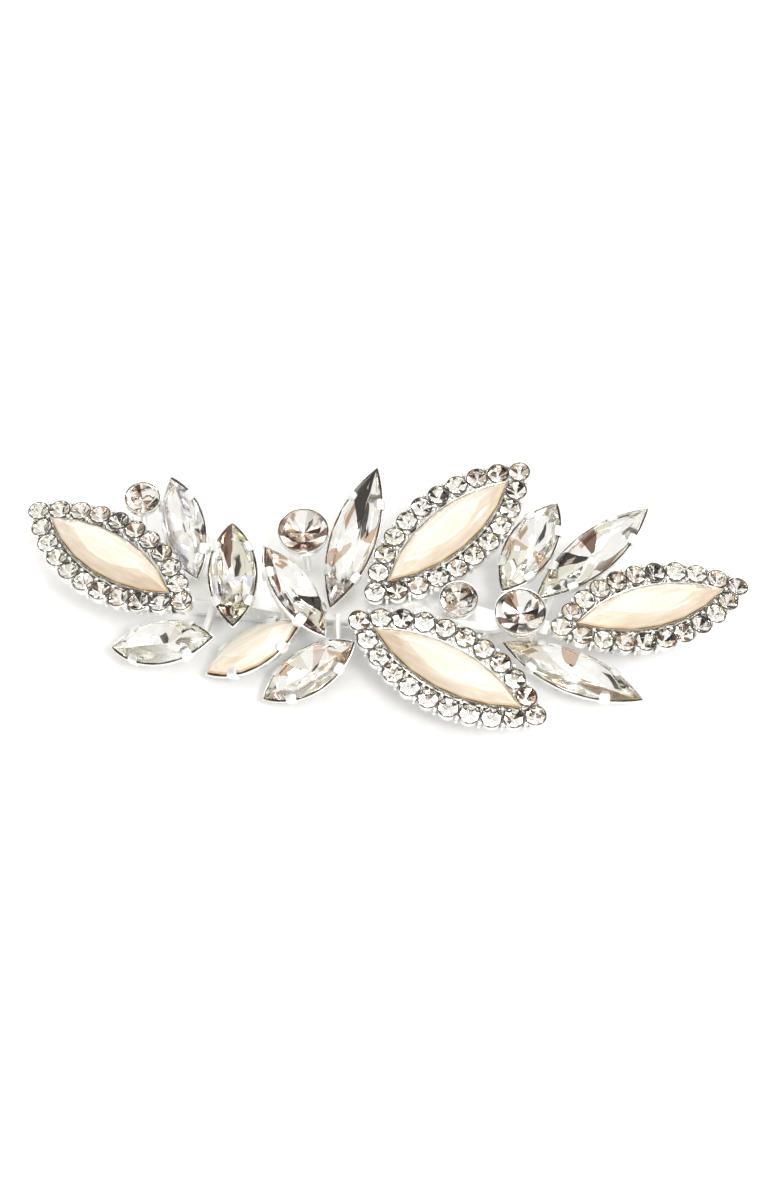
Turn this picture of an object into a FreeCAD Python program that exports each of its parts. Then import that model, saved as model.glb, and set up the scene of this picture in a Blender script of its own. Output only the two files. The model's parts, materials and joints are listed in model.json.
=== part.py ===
"""A rhinestone hair clip: a spray of marquise leaves, navettes and round stones on a sprung jaw clip.

The row frame has +X along the clip from its hinge to its tip, +Y across it and +Z up. The origin is
under the middle of the whole ornament, on the surface that the clip lies on. Millimetres and degrees.
"""
import FreeCAD, Part

import math
import os

import Sketcher
from FreeCAD import Placement, Rotation, Vector

doc = FreeCAD.newDocument("hair_clip")
sizes = doc.addObject("Spreadsheet::Sheet", "sizes")

# ---------------------------------------------------------------- driving dimensions

DIMENSIONS = {
    # navette stones: a short and a long one
    "short_navette_length": 15.0,
    "short_navette_width": 6.7,
    "long_navette_length": 21.0,
    "long_navette_width": 6.3,
    # cut of every stone, measured from its girdle
    "crown_rise": 1.45,
    "pavilion_depth": 1.75,
    "girdle_band": 0.3,
    # claw cups and bezel cups
    "cup_wall": 0.4,
    "cup_height": 2.5,
    "cup_floor": 0.6,
    "seat_clearance": 0.06,
    "claw_width": 1.3,
    "claw_height": 1.25,
    "claw_thickness": 0.4,
    "claw_reach": 0.75,
    "claw_spread": 0.27,
    # round stones
    "large_round": 7.0,
    "middle_round": 5.2,
    "small_round": 4.8,
    # pave leaves: the halo line runs through the middles of the small stones
    "halo_length": 28.5,
    "halo_width": 11.0,
    "halo_stone": 2.9,
    "halo_pocket_depth": 1.35,
    "leaf_rim": 1.65,
    "leaf_thickness": 2.1,
    "ivory_length": 23.4,
    "ivory_width": 6.7,
    "ivory_rise": 1.5,
    "ivory_pocket_depth": 1.3,
    # sprung jaw clip
    "jaw_width": 9.0,
    "jaw_tip_width": 3.2,
    "jaw_sheet": 0.8,
    "jaw_top": 7.0,
    "tail_end": -29.0,
    "taper_start": -10.0,
    "jaw_tip": 17.0,
    "pin_x": -16.0,
    "pin_z": 3.9,
    "pin_radius": 0.75,
    "pin_head_radius": 1.25,
    "pin_running_clearance": 0.08,
    "pin_press_clearance": 0.02,
    "ear_radius": 1.9,
    "lower_ear_radius": 1.6,
    "ear_sheet": 0.6,
    "ear_gap": 0.3,
    "upper_ear_inner": 3.9,
    "lower_ear_inner": 3.0,
    "lower_sheet": 0.7,
    "blade_z": 4.5,
    "blade_start": -5.0,
    "throat_z": 1.75,
    "tooth_pitch": 2.2,
    "tooth_rise": 1.2,
    "tooth_count": 9,
    "spring_wire": 0.5,
    "spring_radius": 1.35,
    "spring_turns": 6,
    "spring_pitch": 0.46,
    "spring_leg": 8.0,
    "spring_bend_swell": 1.15,
    "ear_spread": 1.2,
    "tooth_top": 0.2,
    "tooth_root": 0.1,
    "tooth_margin": 1.5,
    "upper_leg_rise": 0.55,
    "lower_leg_rise": -0.65,
    "clip_middle_y": -0.3,
    # wires that carry the settings
    "branch_width": 2.2,
    "branch_rise": 0.8,
    "left_branch_end": -37.5,
    "left_branch_start": -20.0,
    "right_branch_start": 8.0,
    "right_branch_end": 23.0,
    "stem_radius": 0.6,
    "stem_sink": 0.15,
    # the middle of the whole outline in the layout's own coordinates
    "layout_middle_x": -1.96,
    "layout_middle_y": 3.03,
}

# Where each setting stands: the middle of its stones' girdle (x, y, z), then the heading of its outer
# tip, how far that tip rises (pitch) and how far the setting leans about its own length (roll).
LEAVES = {
    "left_leaf": (-40.2, -2.9, 11.8, 151, -12, 0),
    "back_leaf": (6.3, 11.1, 10.1, 54, 1, 0),
    "front_leaf": (10.1, -9.9, 8.9, -18, -5, 0),
    "right_leaf": (36.7, 6.5, 6.5, 32, -13, 0),
}
NAVETTES = {
    "left_back_navette": ("short", -30.6, 3.2, 12.5, 116, 14, -33),
    "left_upright_navette": ("short", -22.35, -2.4, 11.6, 102, 12, 0),
    "left_front_navette": ("short", -30.5, -12.9, 7.5, -172, -18, 0),
    "ivory_navette": ("short", -17.7, -10.9, 6.6, -147, -21, 14),
    "middle_front_navette": ("short", -9.3, -12.6, 6.0, -143, -20, 0),
    "middle_slanted_navette": ("short", -13.0, -3.7, 12.2, 136, 15, 28),
    "middle_long_navette": ("long", -6.5, 6.3, 12.4, 82, 16, 0),
    "right_back_navette": ("short", 18.2, 11.7, 8.6, 69, 10, 0),
    "right_long_navette": ("long", 27.2, 12.5, 8.3, 51, 5, 0),
    "front_long_navette": ("long", 27.5, -5.6, 6.1, -11, -6, 0),
}
ROUNDS = {
    "left_round": ("small_round", -37.3, 6.2, 13.6, 0, 0, 0),
    "middle_round": ("large_round", -13.8, 6.1, 12.1, 0, 0, 0),
    "centre_round": ("middle_round", 9.9, 0.35, 10.5, 0, 0, 0),
    "right_round": ("large_round", 18.9, -0.5, 11.4, 0, 0, 0),
}

for row, (alias, number) in enumerate(DIMENSIONS.items(), start=1):
    sizes.set(f"A{row}", alias)
    sizes.set(f"B{row}", str(number))
    sizes.setAlias(f"B{row}", alias)
doc.recompute()

parts = []  # every sub-part, in the order it is made


def size(alias):
    return float(sizes.get(alias))


def keep(piece, label):
    """Gives a finished sub-part its name."""
    piece.Label = label
    parts.append(piece)
    return piece


def stand(piece, place):
    """Stands a piece made about its own girdle where the layout puts it."""
    across, along, rise, heading, pitch, roll = place
    base = Vector(across - size("layout_middle_x"), along - size("layout_middle_y"), rise)
    turn = Rotation(Vector(0, 0, 1), heading) * Rotation(Vector(0, 1, 0), -pitch)
    piece.Placement = Placement(base, turn * Rotation(Vector(1, 0, 0), roll))


# ---------------------------------------------------------------- sketches

X_AXIS, Y_AXIS = -1, -2
START, END, CENTRE = 1, 2, 3


def new_body(label):
    body = doc.addObject("PartDesign::Body", label)
    return keep(body, label)


def new_sketch(body, name, role="XY_Plane", offset=Placement()):
    sketch = body.newObject("Sketcher::SketchObject", f"{body.Name}_{name}")
    origin = body.Origin.OriginFeatures
    sketch.AttachmentSupport = [(next(f for f in origin if f.Role == role), "")]
    sketch.MapMode = "FlatFace"
    sketch.AttachmentOffset = offset
    return sketch


def bind(sketch, index, name, formula):
    """Ties one sketch constraint to a formula of the sheet."""
    sketch.renameConstraint(index, name)
    sketch.setExpression(f"Constraints.{name}", formula)


def marquise(sketch, length, width, margin=""):
    """Draws two arcs that meet in points on X: a marquise, grown by a margin all round."""
    grow = size(margin) if margin else 0
    term = f" + 2 * sizes.{margin}" if margin else ""
    long, wide = size(length) + 2 * grow, size(width) + 2 * grow
    long_text, wide_text = f"(sizes.{length}{term})", f"(sizes.{width}{term})"
    radius = (long ** 2 + wide ** 2) / (4 * wide)
    half_turn = math.asin(long / 2 / radius)
    drop = radius - wide / 2
    up = Vector(0, 0, 1)
    for side in (1, -1):
        middle = math.pi / 2 * side
        circle = Part.Circle(Vector(0, -drop * side, 0), up, radius)
        sketch.addGeometry(Part.ArcOfCircle(circle, middle - half_turn, middle + half_turn))
    add = sketch.addConstraint
    add(Sketcher.Constraint("Coincident", 0, END, 1, START))
    add(Sketcher.Constraint("Coincident", 1, END, 0, START))
    add(Sketcher.Constraint("PointOnObject", 0, START, X_AXIS))
    add(Sketcher.Constraint("PointOnObject", 0, CENTRE, Y_AXIS))
    add(Sketcher.Constraint("PointOnObject", 1, CENTRE, Y_AXIS))
    radius_text = f"({long_text} ^ 2 + {wide_text} ^ 2) / (4 * {wide_text})"
    bind(sketch, add(Sketcher.Constraint("DistanceX", 0, END, 0, START, long)), "tip_to_tip", long_text)
    bind(sketch, add(Sketcher.Constraint("Radius", 0, radius)), "upper_arc", radius_text)
    bind(sketch, add(Sketcher.Constraint("Radius", 1, radius)), "lower_arc", radius_text)


def circle_at(sketch, centre, radius, formula, name):
    """Draws one circle with a bound radius; its centre is fixed at a worked-out point."""
    index = sketch.addGeometry(Part.Circle(Vector(*centre, 0), Vector(0, 0, 1), radius))
    add = sketch.addConstraint
    bind(sketch, add(Sketcher.Constraint("Radius", index, radius)), f"{name}_radius", formula)
    add(Sketcher.Constraint("DistanceX", index, CENTRE, centre[0]))
    add(Sketcher.Constraint("DistanceY", index, CENTRE, centre[1]))


def polygon(sketch, points):
    """Draws a closed outline of straight runs through the points."""
    count = len(points)
    for start, end in zip(points, points[1:] + points[:1]):
        sketch.addGeometry(Part.LineSegment(Vector(*start, 0), Vector(*end, 0)))
    for index in range(count):
        sketch.addConstraint(Sketcher.Constraint("Coincident", index, END, (index + 1) % count, START))


def rectangle(sketch, left, right, low, high):
    polygon(sketch, [(left, low), (right, low), (right, high), (left, high)])


def pad(body, sketch, name, formula, middle=False, down=False):
    feature = body.newObject("PartDesign::Pad", f"{body.Name}_{name}")
    feature.Profile = sketch
    feature.Midplane = middle
    feature.Reversed = down
    feature.setExpression("Length", formula)
    return feature


def pocket(body, sketch, name, formula, middle=False):
    """Cuts down from the sketch's plane, or both ways from it when middle is set."""
    feature = body.newObject("PartDesign::Pocket", f"{body.Name}_{name}")
    feature.Profile = sketch
    feature.Midplane = middle
    feature.setExpression("Length", formula)
    return feature


def fillet(body, name, radius, wanted):
    """Rounds the edges of the body's last feature that the test picks out."""
    doc.recompute()
    base = body.Tip
    names = [f"Edge{n}" for n, edge in enumerate(base.Shape.Edges, start=1) if wanted(edge)]
    feature = body.newObject("PartDesign::Fillet", f"{body.Name}_{name}")
    feature.Base = (base, names)
    feature.setExpression("Radius", radius)
    return feature


def raised(height):
    """An offset that lifts a sketch off its body's plane."""
    return Placement(Vector(0, 0, height), Rotation())


def upright_at(reach):
    """An edge test: straight up and down, at this distance from the middle along X."""

    def wanted(edge):
        first, last = edge.Vertexes[0].Point, edge.Vertexes[-1].Point
        is_upright = math.hypot(first.x - last.x, first.y - last.y) < 1e-4 < abs(first.z - last.z)
        return is_upright and abs(abs(first.x) - reach) < 1e-3

    return wanted


# ---------------------------------------------------------------- stones


def facets(rings):
    """Makes a closed faceted solid from rings of points, each ring flat and of the same count."""
    count = len(rings[0])
    faces = []
    for ring in (rings[0], rings[-1]):
        faces.append(Part.Face(Part.makePolygon(ring + ring[:1])))
    for lower, upper in zip(rings, rings[1:]):
        for index in range(count):
            after = (index + 1) % count
            start, far = lower[index], upper[after]
            faces.append(Part.Face(Part.makePolygon([start, lower[after], far, start])))
            faces.append(Part.Face(Part.makePolygon([start, far, upper[index], start])))
    return Part.makeSolid(Part.makeShell(faces)).removeSplitter()


def marquise_ring(length, width, height, per_side):
    """Points round a marquise outline at one height, the two tips among them."""
    radius = (length ** 2 + width ** 2) / (4 * width)
    half_turn = math.asin(length / 2 / radius)
    ring = []
    for side in (1, -1):
        for step in range(per_side):
            turn = half_turn * (1 - 2 * step / per_side)
            along, out = radius * math.sin(turn), radius * math.cos(turn) - radius + width / 2
            ring.append(Vector(along * side, out * side, height))
    return ring


def round_ring(radius, height, count):
    turns = [2 * math.pi * step / count for step in range(count)]
    return [Vector(radius * math.cos(turn), radius * math.sin(turn), height) for turn in turns]


def navette_shape(length, width, rise, depth):
    """A navette cut: pavilion, thin girdle, crown and a long flat table."""
    band = size("girdle_band")
    scales = [(0.16, -depth), (0.62, -depth * 0.5), (1.0, 0.0), (1.0, band)]
    scales += [(0.8, band + rise * 0.55), (0.52, band + rise)]
    return facets([marquise_ring(length * k, width * k, height, 6) for k, height in scales])


def round_shape(diameter, rise, depth):
    """A round cut: cone below, thin girdle, sloped crown and a flat table."""
    band = size("girdle_band") * diameter / size("large_round")
    scales = [(0.08, -depth), (1.0, 0.0), (1.0, band), (0.52, band + rise)]
    return facets([round_ring(diameter / 2 * k, height, 16) for k, height in scales])


def stone(label, shape, place):
    piece = doc.addObject("Part::Feature", label)
    piece.Shape = shape
    stand(piece, place)
    return keep(piece, label)


# ---------------------------------------------------------------- settings


def claw_cup(label, length, width, place):
    """A navette's cup with four claws bent over the stone. The cup's mouth is at the girdle."""
    body = new_body(label)
    base = raised(-size("cup_height"))
    outline = new_sketch(body, "outline", offset=base)
    marquise(outline, length, width, "cup_wall")
    pad(body, outline, "cup", "sizes.cup_height")
    fillet(body, "tips", "sizes.cup_wall", upright_at(size(length) / 2 + size("cup_wall")))
    seat = new_sketch(body, "seat")
    marquise(seat, length, width, "seat_clearance")
    pocket(body, seat, "seat_cut", "sizes.cup_height - sizes.cup_floor")
    claws = new_sketch(body, "claws", offset=raised(-size("claw_height")))
    hooks = new_sketch(body, "hooks", offset=raised(size("claw_height") - size("claw_thickness")))
    spread, half_claw = size(length) * size("claw_spread"), size("claw_width") / 2
    radius = (size(length) ** 2 + size(width) ** 2) / (4 * size(width))
    edge = math.sqrt(radius ** 2 - (spread - half_claw) ** 2) - radius + size(width) / 2
    inner = edge + size("seat_clearance")
    outer = inner + size("claw_thickness") + size("cup_wall") / 2
    for index, (end, side) in enumerate([(1, 1), (-1, 1), (1, -1), (-1, -1)]):
        for sketch, near in ((claws, inner), (hooks, inner - size("claw_reach"))):
            left, right = spread * end - half_claw, spread * end + half_claw
            low, high = sorted((near * side, outer * side))
            start = index * 4
            corners = [(left, low), (right, low), (right, high), (left, high)]
            for first, last in zip(corners, corners[1:] + corners[:1]):
                sketch.addGeometry(Part.LineSegment(Vector(*first, 0), Vector(*last, 0)))
            for step in range(4):
                joint = (start + step, END, start + (step + 1) % 4, START)
                sketch.addConstraint(Sketcher.Constraint("Coincident", *joint))
    pad(body, claws, "claw_posts", "2 * sizes.claw_height")
    pad(body, hooks, "claw_hooks", "sizes.claw_thickness")
    stand(body, place)
    return body


def bezel_cup(label, diameter, place):
    """A round stone's plain cup with a thin wall that comes up to the girdle."""
    body = new_body(label)
    outline = new_sketch(body, "outline", offset=raised(-size("cup_height")))
    outer = size(diameter) / 2 + size("cup_wall")
    circle_at(outline, (0, 0), outer, f"sizes.{diameter} / 2 + sizes.cup_wall", "outer")
    pad(body, outline, "cup", "sizes.cup_height + sizes.girdle_band")
    seat = new_sketch(body, "seat", offset=raised(size("girdle_band")))
    inner = size(diameter) / 2 + size("seat_clearance")
    circle_at(seat, (0, 0), inner, f"sizes.{diameter} / 2 + sizes.seat_clearance", "inner")
    pocket(body, seat, "seat_cut", "sizes.cup_height + sizes.girdle_band - sizes.cup_floor")
    stand(body, place)
    return body


def halo_points():
    """The middles of a leaf's small stones, evenly spaced along two arcs from tip to tip."""
    length, width = size("halo_length"), size("halo_width")
    return marquise_ring(length, width, 0, 10)


def leaf_setting(label, place):
    """A cast leaf with a long pocket for the ivory stone and a line of round pockets about it."""
    body = new_body(label)
    outline = new_sketch(body, "outline", offset=raised(-size("leaf_thickness")))
    marquise_offset(outline)
    pad(body, outline, "plate", "sizes.leaf_thickness")
    ivory_seat = new_sketch(body, "ivory_seat")
    marquise(ivory_seat, "ivory_length", "ivory_width", "seat_clearance")
    pocket(body, ivory_seat, "ivory_cut", "sizes.ivory_pocket_depth")
    stone_seats = new_sketch(body, "stone_seats")
    radius = size("halo_stone") / 2 + size("seat_clearance")
    for number, point in enumerate(halo_points()):
        formula = "sizes.halo_stone / 2 + sizes.seat_clearance"
        circle_at(stone_seats, (point.x, point.y), radius, formula, f"seat_{number}")
    pocket(body, stone_seats, "stone_cuts", "sizes.halo_pocket_depth")
    stand(body, place)
    return body


def marquise_offset(sketch):
    """The leaf's rim: the halo line grown outwards, with a round end about each tip stone."""
    length, width, rim = size("halo_length"), size("halo_width"), size("leaf_rim")
    radius = (length ** 2 + width ** 2) / (4 * width)
    half_turn = math.asin(length / 2 / radius)
    drop = radius - width / 2
    up = Vector(0, 0, 1)
    for side in (1, -1):
        middle = math.pi / 2 * side
        long_arc = Part.Circle(Vector(0, -drop * side, 0), up, radius + rim)
        sketch.addGeometry(Part.ArcOfCircle(long_arc, middle - half_turn, middle + half_turn))
        end_arc = Part.Circle(Vector(-length / 2 * side, 0, 0), up, rim)
        first = middle + half_turn
        sketch.addGeometry(Part.ArcOfCircle(end_arc, first, first + math.pi - 2 * half_turn))
    for index in range(4):
        sketch.addConstraint(Sketcher.Constraint("Coincident", index, END, (index + 1) % 4, START))


def halo_stones(label, place):
    """One leaf's small stones, each a solid of its own."""
    diameter = size("halo_stone")
    cut = round_shape(diameter, diameter * 0.2, size("halo_pocket_depth") * 0.85)
    stones = [cut.translated(point) for point in halo_points()]
    return stone(label, Part.makeCompound(stones), place)


for name, place in LEAVES.items():
    leaf_setting(f"{name}_setting", place)
    ivory_cut = navette_shape(size("ivory_length"), size("ivory_width"), size("ivory_rise"), 1.1)
    stone(f"{name}_ivory_stone", ivory_cut, place)
    halo_stones(f"{name}_halo_stones", place)

for name, (length, *place) in NAVETTES.items():
    long, wide = f"{length}_navette_length", f"{length}_navette_width"
    claw_cup(f"{name}_cup", long, wide, place)
    cut = navette_shape(size(long), size(wide), size("crown_rise"), size("pavilion_depth"))
    stone(f"{name}_stone", cut, place)

for name, (diameter, *place) in ROUNDS.items():
    bezel_cup(f"{name}_cup", diameter, place)
    rise = size("crown_rise") * size(diameter) / size("large_round")
    stone(f"{name}_stone", round_shape(size(diameter), rise, size("pavilion_depth")), place)

# ---------------------------------------------------------------- sprung jaw clip


def ear(body, name, side, inner, sheet, radius, foot):
    """One upright ear round the pin: straight sides, a round end, and a foot on the jaw's sheet."""
    face = -(size(inner) + size(sheet)) if side > 0 else size(inner)
    turned = Placement(Vector(0, 0, face), Rotation())
    sketch = new_sketch(body, name, role="XZ_Plane", offset=turned)
    x, z, reach = size("pin_x"), size("pin_z"), size(radius)
    spread, height = reach + size("ear_spread"), foot
    end = Part.Circle(Vector(x, z, 0), Vector(0, 0, 1), reach)
    first, last = (math.pi, 2 * math.pi) if height > z else (0, math.pi)
    sketch.addGeometry(Part.ArcOfCircle(end, first, last))
    turn = 1 if height > z else -1
    corners = [(x + reach * turn, z), (x + spread * turn, height)]
    corners += [(x - spread * turn, height), (x - reach * turn, z)]
    for start, stop in zip(corners, corners[1:]):
        sketch.addGeometry(Part.LineSegment(Vector(*start, 0), Vector(*stop, 0)))
    for index in range(4):
        sketch.addConstraint(Sketcher.Constraint("Coincident", index, END, (index + 1) % 4, START))
    pad(body, sketch, f"{name}_pad", f"sizes.{sheet}")


def pin_hole(body, clearance):
    hole = new_sketch(body, "pin_hole", role="XZ_Plane")
    radius = size("pin_radius") + size(clearance)
    formula = f"sizes.pin_radius + sizes.{clearance}"
    circle_at(hole, (size("pin_x"), size("pin_z")), radius, formula, "hole")
    pocket(body, hole, "pin_cut", "3 * sizes.jaw_width", middle=True)


def upper_jaw():
    """The flat jaw that carries the ornament, with two ears bent down for the pin."""
    body = new_body("upper_jaw")
    under = size("jaw_top") - size("jaw_sheet")
    plan = new_sketch(body, "plan", offset=raised(under))
    tail, tip, half, corner = size("tail_end"), size("jaw_tip"), size("jaw_width") / 2, 1.5
    tip_half = size("jaw_tip_width") / 2
    edge = [(tail, half - corner), (tail + corner, half), (size("taper_start"), half)]
    edge += [(tip - tip_half, tip_half), (tip, tip_half / 2)]
    polygon(plan, [*edge, *[(x, -y) for x, y in reversed(edge)]])
    pad(body, plan, "plate", "sizes.jaw_sheet")
    for side in (1, -1):
        name = "left_ear" if side > 0 else "right_ear"
        ear(body, name, side, "upper_ear_inner", "ear_sheet", "ear_radius", under + size("jaw_sheet") / 2)
    pin_hole(body, "pin_press_clearance")
    return body


def strip_outline(middle, thickness):
    """The outline of a bent strip about its middle line, ends square."""
    upper, lower = [], []
    for index, (x, z) in enumerate(middle):
        before, after = middle[max(index - 1, 0)], middle[min(index + 1, len(middle) - 1)]
        along_x, along_z = after[0] - before[0], after[1] - before[1]
        reach = math.hypot(along_x, along_z) * 2 / thickness
        upper.append((x - along_z / reach, z + along_x / reach))
        lower.append((x + along_z / reach, z - along_x / reach))
    return lower + upper[::-1]


def lower_jaw():
    """The moving jaw: a bent strip that runs under the pin, with a toothed blade and a thumb tail."""
    body = new_body("lower_jaw")
    sheet, width = size("lower_sheet"), 2 * size("upper_ear_inner") - 2 * size("ear_gap")
    blade, throat, tail = size("blade_z"), size("throat_z"), size("tail_end")
    middle = [(tail, sheet / 2), (tail + 7, sheet / 2 + 0.9), (size("pin_x"), throat)]
    middle += [(size("pin_x") + 4.5, throat + 0.3), (size("blade_start") - 2.0, blade - 0.5)]
    middle += [(size("blade_start"), blade), (size("jaw_tip") - 0.5, blade)]
    side_view = new_sketch(body, "side_view", role="XZ_Plane")
    polygon(side_view, strip_outline(middle, sheet))
    full_width = "2 * sizes.upper_ear_inner - 2 * sizes.ear_gap"
    pad(body, side_view, "strip", full_width, middle=True)
    for side in (1, -1):
        name = "left_ear" if side > 0 else "right_ear"
        ear(body, name, side, "lower_ear_inner", "ear_sheet", "lower_ear_radius", throat)
    pin_hole(body, "pin_running_clearance")
    tooth = new_sketch(body, "tooth", role="XZ_Plane")
    first, top = size("blade_start") + size("tooth_margin"), blade + sheet / 2
    rise, half_base = size("tooth_rise"), size("tooth_pitch") * 0.4
    half_top, root = size("tooth_top") / 2, top - size("tooth_root")
    polygon(tooth, [(first - half_base, root), (first + half_base, root),
                    (first + half_top, top + rise), (first - half_top, top + rise)])
    ridge = pad(body, tooth, "tooth_ridge", full_width, middle=True)
    doc.recompute()
    row = body.newObject("PartDesign::LinearPattern", "lower_jaw_teeth")
    row.Originals = [ridge]
    row.Direction = (tooth, ["H_Axis"])
    row.setExpression("Length", "sizes.tooth_pitch * (sizes.tooth_count - 1)")
    row.Occurrences = round(size("tooth_count"))
    body.Tip = row
    flanks = new_sketch(body, "flanks", offset=raised(blade))
    start, tip, tip_half = size("blade_start"), size("jaw_tip") + 1, size("jaw_tip_width") / 2
    for side in (1, -1):
        corners = [(start, width / 2 * side), (tip, tip_half * side)]
        corners += [(tip, width * side), (start, width * side)]
        base = 4 * (0 if side > 0 else 1)
        for first_corner, last_corner in zip(corners, corners[1:] + corners[:1]):
            flanks.addGeometry(Part.LineSegment(Vector(*first_corner, 0), Vector(*last_corner, 0)))
        for step in range(4):
            joint = (base + step, END, base + (step + 1) % 4, START)
            flanks.addConstraint(Sketcher.Constraint("Coincident", *joint))
    pocket(body, flanks, "flank_cuts", "6 * sizes.tooth_rise", middle=True)
    channel = new_sketch(body, "channel", offset=raised(top + rise + 0.5))
    rectangle(channel, start - 1, tip, -size("jaw_tip_width") / 4, size("jaw_tip_width") / 4)
    pocket(body, channel, "channel_cut", "sizes.tooth_rise + 0.5")
    return body


def hinge_pin():
    """A headed pin through both jaws' ears."""
    body = new_body("hinge_pin")
    profile = new_sketch(body, "profile")
    shank, head, thick = size("pin_radius"), size("pin_head_radius"), 0.45
    reach = size("upper_ear_inner") + size("ear_sheet") + 0.05
    outer = reach + thick
    polygon(profile, [(0, -outer), (head, -outer), (head, -reach), (shank, -reach),
                      (shank, reach), (head, reach), (head, outer), (0, outer)])
    turned = body.newObject("PartDesign::Revolution", "hinge_pin_turned")
    turned.Profile = profile
    turned.ReferenceAxis = (profile, ["V_Axis"])
    turned.Angle = 360
    return body


def spring_shape():
    """A close coil about Y whose two straight legs run back towards the tails, one high and one low."""
    wire, radius = size("spring_wire") / 2, size("spring_radius")
    turns, pitch = round(size("spring_turns")), size("spring_pitch")
    half = pitch * (turns - 1) / 2
    pieces = []
    for turn in range(turns):
        middle = Vector(0, turn * pitch - half, 0)
        pieces.append(Part.makeTorus(radius, wire, middle, Vector(0, 1, 0)))
    bend_radius = wire * size("spring_bend_swell")
    feet = ((Vector(0, -half, radius), size("upper_leg_rise")),
            (Vector(0, half, -radius), size("lower_leg_rise")))
    for foot, rise in feet:
        along = Vector(-size("spring_leg"), 0, rise)
        pieces.append(Part.makeCylinder(wire, along.Length, foot, along))
        pieces.append(Part.makeSphere(bend_radius, foot))
    return pieces[0].fuse(pieces[1:])


clip_middle = (0, size("clip_middle_y"), 0, 0, 0, 0)
pin_middle = (size("pin_x"), size("clip_middle_y"), size("pin_z"), 0, 0, 0)
stand(upper_jaw(), clip_middle)
stand(lower_jaw(), clip_middle)
stand(hinge_pin(), pin_middle)
stone("jaw_spring", spring_shape(), pin_middle)

# ---------------------------------------------------------------- branches and stems

# Flat bars soldered along the top of the clip: first and last place along it.
BRANCHES = {"left_branch": ("left_branch_end", "left_branch_start"),
            "right_branch": ("right_branch_start", "right_branch_end")}

# Each stem: the point where its foot stands, and how far along the setting its head meets it.
STEMS = {
    "left_stems": {
        "left_leaf": (-35.0, -1.0, 7.4, -3.0),
        "left_round": (-36.0, 0.2, 7.4, 0.0),
        "left_back_navette": (-29.5, 0.4, 7.4, -3.0),
        "left_upright_navette": (-22.6, -0.6, 7.4, 1.5),
        "left_front_navette": (-24.5, -4.2, 6.6, -5.0),
    },
    "middle_stems": {
        "ivory_navette": (-14.5, -4.2, 6.6, -4.0),
        "middle_front_navette": (-7.0, -3.4, 6.6, -4.0),
        "middle_slanted_navette": (-13.5, -1.8, 6.6, 0.5),
        "middle_long_navette": (-7.6, 1.8, 6.6, -4.0),
        "middle_round": (-12.5, 3.0, 6.6, 0.0),
        "back_leaf": (1.0, 1.8, 6.6, -9.0),
        "front_leaf": (0.4, -2.6, 6.6, -10.0),
    },
    "right_stems": {
        "right_round": (18.9, -0.3, 7.4, 0.0),
        "centre_round": (9.9, -0.3, 7.4, 0.0),
        "right_back_navette": (18.2, 0.3, 7.4, -5.0),
        "right_long_navette": (22.0, 0.3, 7.4, -8.0),
        "front_long_navette": (21.0, -0.9, 7.4, -7.0),
        "right_leaf": (22.5, -0.3, 7.4, -11.0),
    },
}


def branch(label, left, right):
    body = new_body(label)
    plan = new_sketch(body, "plan", offset=raised(size("jaw_top")))
    half = size("branch_width") / 2
    rectangle(plan, size(left), size(right), -half, half)
    pad(body, plan, "bar", "sizes.branch_rise")
    stand(body, clip_middle)
    return body


def stem(foot, setting, along):
    """A round wire from a foot on the clip into the floor of one setting."""
    is_leaf = setting.endswith("_leaf")
    holder = next(p for p in parts if p.Label == setting + ("_setting" if is_leaf else "_cup"))
    depth = size("leaf_thickness" if is_leaf else "cup_height") - size("stem_sink")
    start = Vector(*foot) - Vector(size("layout_middle_x"), size("layout_middle_y"), 0)
    head = holder.Placement.multVec(Vector(along, 0, -depth))
    reach = head - start
    return Part.makeCylinder(size("stem_radius"), reach.Length, start, reach)


for name, (left, right) in BRANCHES.items():
    branch(name, left, right)

for name, feet in STEMS.items():
    wires = [stem(foot, setting, along) for setting, (*foot, along) in feet.items()]
    group = doc.addObject("Part::Feature", name)
    group.Shape = Part.makeCompound(wires)
    keep(group, name)

# ---------------------------------------------------------------- checks and files

doc.recompute()
for item in doc.Objects:
    if "Invalid" in item.State or "Error" in item.State:
        raise RuntimeError(f"{item.Label} failed: {item.State}")
for piece in parts:
    if piece.Shape.isNull() or not piece.Shape.isValid():
        raise RuntimeError(f"{piece.Label} has no sound shape")

os.makedirs("parts", exist_ok=True)
for piece in parts:
    piece.Shape.exportStep(f"parts/{piece.Label}.step")
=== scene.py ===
"""The looks of the rhinestone hair clip: faceted stones, pearly leaves, bright settings and the clip.

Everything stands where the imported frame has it. Shapes are worked out in millimetres about each
stone's own seat and written to the meshes in metres.
"""

import json
import math
import random

import bpy
import numpy as np
from mathutils import Matrix, Vector


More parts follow.
